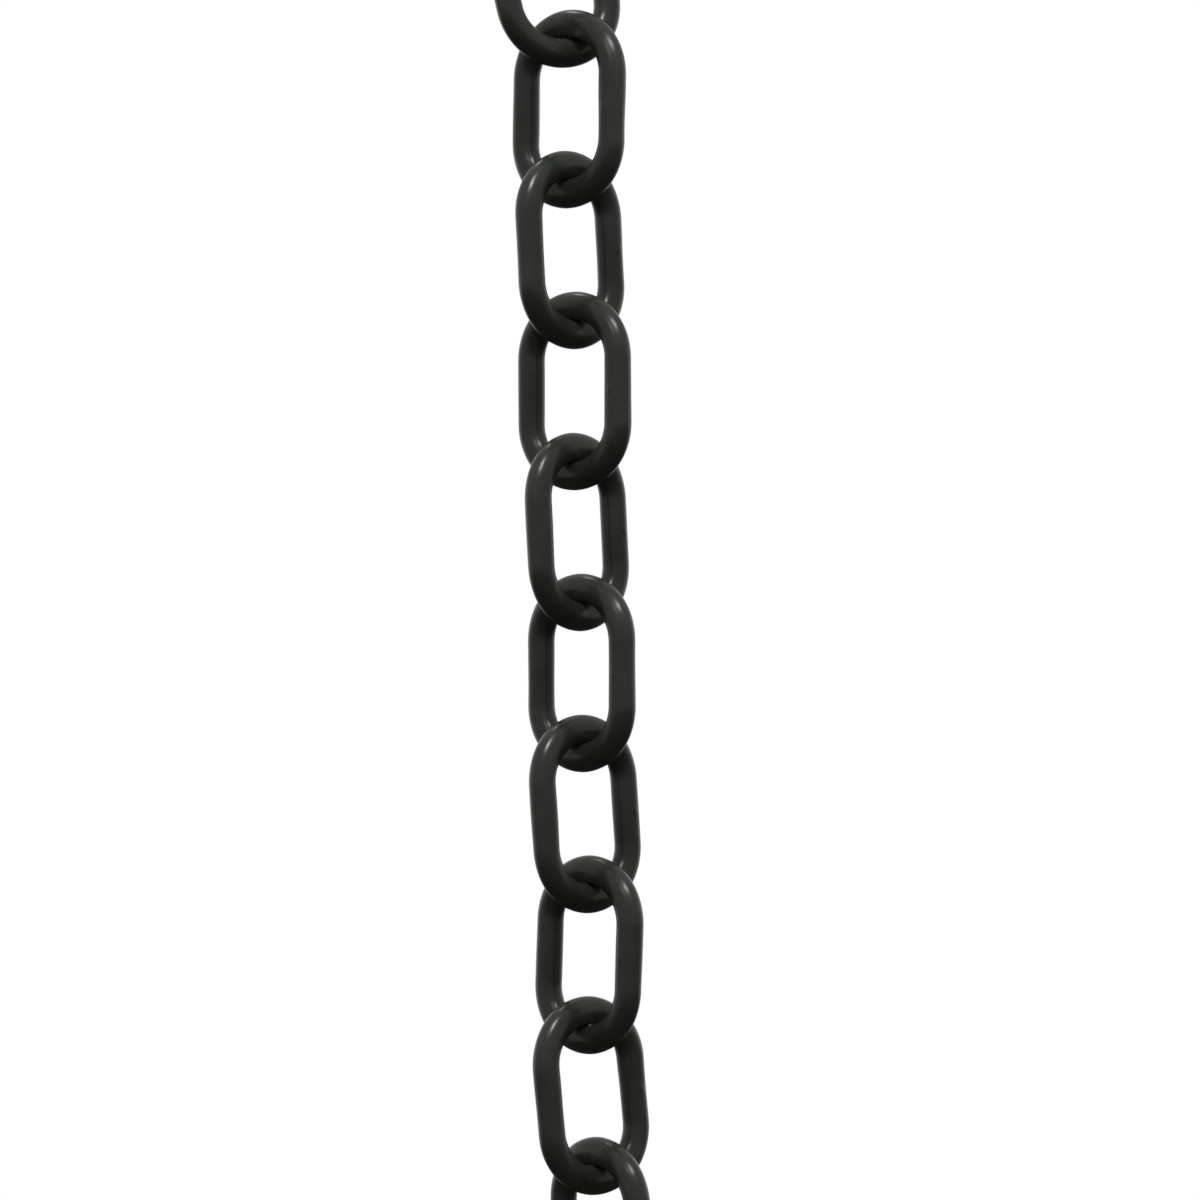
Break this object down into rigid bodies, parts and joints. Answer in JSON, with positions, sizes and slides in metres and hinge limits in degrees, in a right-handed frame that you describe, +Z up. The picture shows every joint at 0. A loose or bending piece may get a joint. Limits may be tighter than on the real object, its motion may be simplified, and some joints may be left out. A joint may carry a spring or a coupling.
{
  "type": "plastic chain",
  "caption": "Hanging length of black moulded plastic chain: closed oval links of round rod, each a quarter turn from the next and free to swing on its neighbour.",
  "frame": {"origin": "the crown of the top link's eye, on the inside of its upper bow, where the hook that holds the chain bears", "axes": "+Z up along the hanging chain; the top link lies near the YZ plane and each link below is a quarter turn on from the one above"},
  "size_m": [0.041, 0.0404, 0.376],
  "materials": {
    "black_plastic": "semi-gloss moulded black polyethylene"
  },
  "bodies": {
    "link_01": {"link_01": "black_plastic"},
    "link_02": {"link_02": "black_plastic"},
    "link_03": {"link_03": "black_plastic"},
    "link_04": {"link_04": "black_plastic"},
    "link_05": {"link_05": "black_plastic"},
    "link_06": {"link_06": "black_plastic"},
    "link_07": {"link_07": "black_plastic"},
    "link_08": {"link_08": "black_plastic"},
    "link_09": {"link_09": "black_plastic"},
    "link_10": {"link_10": "black_plastic"}
  },
  "joints": [
    {"name": "link_02_swing", "type": "hinge", "parent": "link_01", "child": "link_02", "pos_m": [0.00494, 0.00494, -0.03959], "axis": [0.1989, 0.9691, 0.1456], "range_deg": [-120, 120]},
    {"name": "link_03_swing", "type": "hinge", "parent": "link_02", "child": "link_03", "pos_m": [0.00337, 0.00337, -0.07572], "axis": [-0.9981, -0.0426, 0.045], "range_deg": [-120, 120]},
    {"name": "link_04_swing", "type": "hinge", "parent": "link_03", "child": "link_04", "pos_m": [0.00337, 0.00337, -0.11192], "axis": [0.0436, -0.999, 0], "range_deg": [-120, 120]},
    {"name": "link_05_swing", "type": "hinge", "parent": "link_04", "child": "link_05", "pos_m": [0.00226, 0.00226, -0.14809], "axis": [0.9981, 0.0518, -0.0324], "range_deg": [-120, 120]},
    {"name": "link_06_swing", "type": "hinge", "parent": "link_05", "child": "link_06", "pos_m": [0.00226, 0.00226, -0.18429], "axis": [-0.0958, 0.9954, 0], "range_deg": [-120, 120]},
    {"name": "link_07_swing", "type": "hinge", "parent": "link_06", "child": "link_07", "pos_m": [0.00114, 0.00114, -0.22045], "axis": [-0.9994, 0.0179, 0.0303], "range_deg": [-120, 120]},
    {"name": "link_08_swing", "type": "hinge", "parent": "link_07", "child": "link_08", "pos_m": [0.00159, 0.00159, -0.25665], "axis": [0.0175, -0.9998, -0.0121], "range_deg": [-120, 120]},
    {"name": "link_09_swing", "type": "hinge", "parent": "link_08", "child": "link_09", "pos_m": [-0.00042, -0.00042, -0.29274], "axis": [0.9979, -0.0364, -0.0535], "range_deg": [-120, 120]},
    {"name": "link_10_swing", "type": "hinge", "parent": "link_09", "child": "link_10", "pos_m": [0.0007, 0.0007, -0.3289], "axis": [0.017, 0.9994, 0.0314], "range_deg": [-120, 120]}
  ]
}
